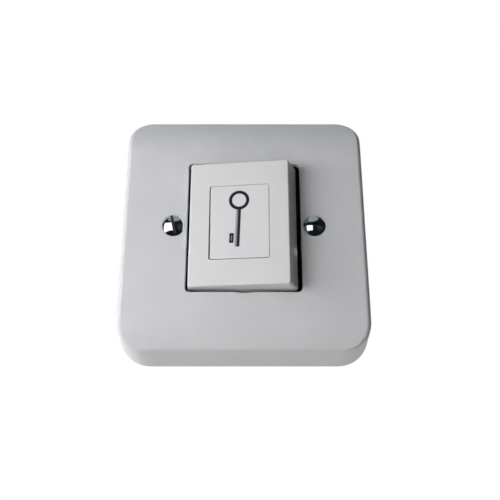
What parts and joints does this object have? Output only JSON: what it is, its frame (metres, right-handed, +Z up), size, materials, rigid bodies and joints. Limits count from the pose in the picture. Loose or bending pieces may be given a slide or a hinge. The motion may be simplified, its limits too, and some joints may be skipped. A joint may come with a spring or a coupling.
{
  "type": "pushbutton switch",
  "caption": "Flush wall pushbutton with a deep screwed cover, a sprung tilting paddle with a key symbol plate, and a double-break contact block behind it.",
  "frame": {"origin": "centre of the mounting plate and of its two level fixing slots, on the wall plane", "axes": "+X to the right as seen from the room, +Y into the wall, +Z up; the front faces -Y"},
  "size_m": [0.081, 0.0469, 0.081],
  "materials": {
    "cover_plastic": "satin moulded, fine grain",
    "paddle_plastic": "satin moulded, smooth",
    "symbol_plastic": "smooth moulded with a printed key pictogram",
    "black_plastic": "moulded thermoset, matt",
    "plunger_plastic": "natural nylon",
    "chrome": "polished plating",
    "zinc_steel": "zinc plated, bright",
    "spring_steel": "drawn spring wire",
    "brass": "stamped brass",
    "silver": "silver contact rivet, dull"
  },
  "bodies": {
    "base": {"cover_plate": "cover_plastic", "cover_screws": "chrome", "mounting_plate": "zinc_steel", "bearing_frame": "black_plastic", "pivot_pin": "zinc_steel", "housing_screws": "zinc_steel", "switch_housing": "black_plastic", "upper_contact_strip": "brass", "lower_contact_strip": "brass", "fixed_contact_tips": "silver", "upper_terminal_block": "brass", "lower_terminal_block": "brass", "terminal_screws": "zinc_steel", "return_spring": "spring_steel"},
    "paddle": {"paddle_cap": "paddle_plastic", "symbol_plate": "symbol_plastic", "paddle_carrier": "black_plastic"},
    "plunger": {"plunger": "plunger_plastic", "contact_bridge": "brass", "moving_contact_tips": "silver", "contact_spring": "spring_steel"}
  },
  "joints": [
    {"name": "paddle_press", "type": "hinge", "parent": "base", "child": "paddle", "pos_m": [0, -0.0132, 0], "axis": [0, 0, 1], "range_deg": [0, 14.6], "stiffness_Nm_per_rad": 0.12, "springref_deg": -14.32},
    {"name": "plunger_slide", "type": "slide", "parent": "base", "child": "plunger", "axis": [0, 1, 0], "range_m": [0, 0.00254], "deforming": ["return_spring"]}
  ],
  "couplings": [
    {"joint": "plunger_slide", "follows": "paddle_press", "m_per_rad": 0.009973}
  ]
}
